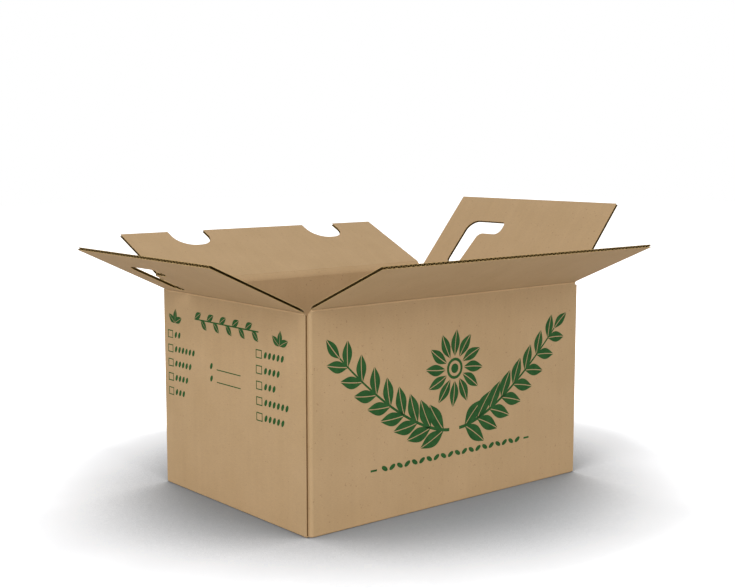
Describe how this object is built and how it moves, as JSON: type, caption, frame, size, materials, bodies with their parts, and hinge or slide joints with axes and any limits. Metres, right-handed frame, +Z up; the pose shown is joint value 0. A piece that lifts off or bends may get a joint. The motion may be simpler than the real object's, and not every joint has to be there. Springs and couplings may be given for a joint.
{
  "type": "cardboard produce carton",
  "caption": "Rectangular corrugated board carton standing open: long flaps front and rear, end flaps with bent hand slots, a notched rear flap and a closed bottom.",
  "frame": {"origin": "centre of the base, on the floor", "axes": "+X along the front panel from the left end to the right end, +Y from the front panel to the rear panel, +Z up"},
  "size_m": [0.5493, 0.4642, 0.3014],
  "materials": {
    "kraft_board": "matt brown kraft liner over a fluted medium",
    "green_print": "matt dark green ink on the board"
  },
  "bodies": {
    "carton": {"carton_body": "kraft_board"},
    "front_flap": {"front_flap": "kraft_board"},
    "rear_flap": {"rear_flap": "kraft_board"},
    "left_end_flap": {"left_end_flap": "kraft_board"},
    "right_end_flap": {"right_end_flap": "kraft_board"}
  },
  "joints": [
    {"name": "front_flap_hinge", "type": "hinge", "parent": "carton", "child": "front_flap", "pos_m": [0, -0.13, 0.217], "axis": [-1, 0, 0], "range_deg": [-103.8, 156.2]},
    {"name": "rear_flap_hinge", "type": "hinge", "parent": "carton", "child": "rear_flap", "pos_m": [0, 0.13, 0.217], "axis": [1, 0, 0], "range_deg": [-104.8, 155.2]},
    {"name": "left_end_flap_hinge", "type": "hinge", "parent": "carton", "child": "left_end_flap", "pos_m": [-0.188, 0, 0.2137], "axis": [0, 1, 0], "range_deg": [-105.3, 154.7]},
    {"name": "right_end_flap_hinge", "type": "hinge", "parent": "carton", "child": "right_end_flap", "pos_m": [0.188, 0, 0.2137], "axis": [0, -1, 0], "range_deg": [-130, 130]}
  ]
}
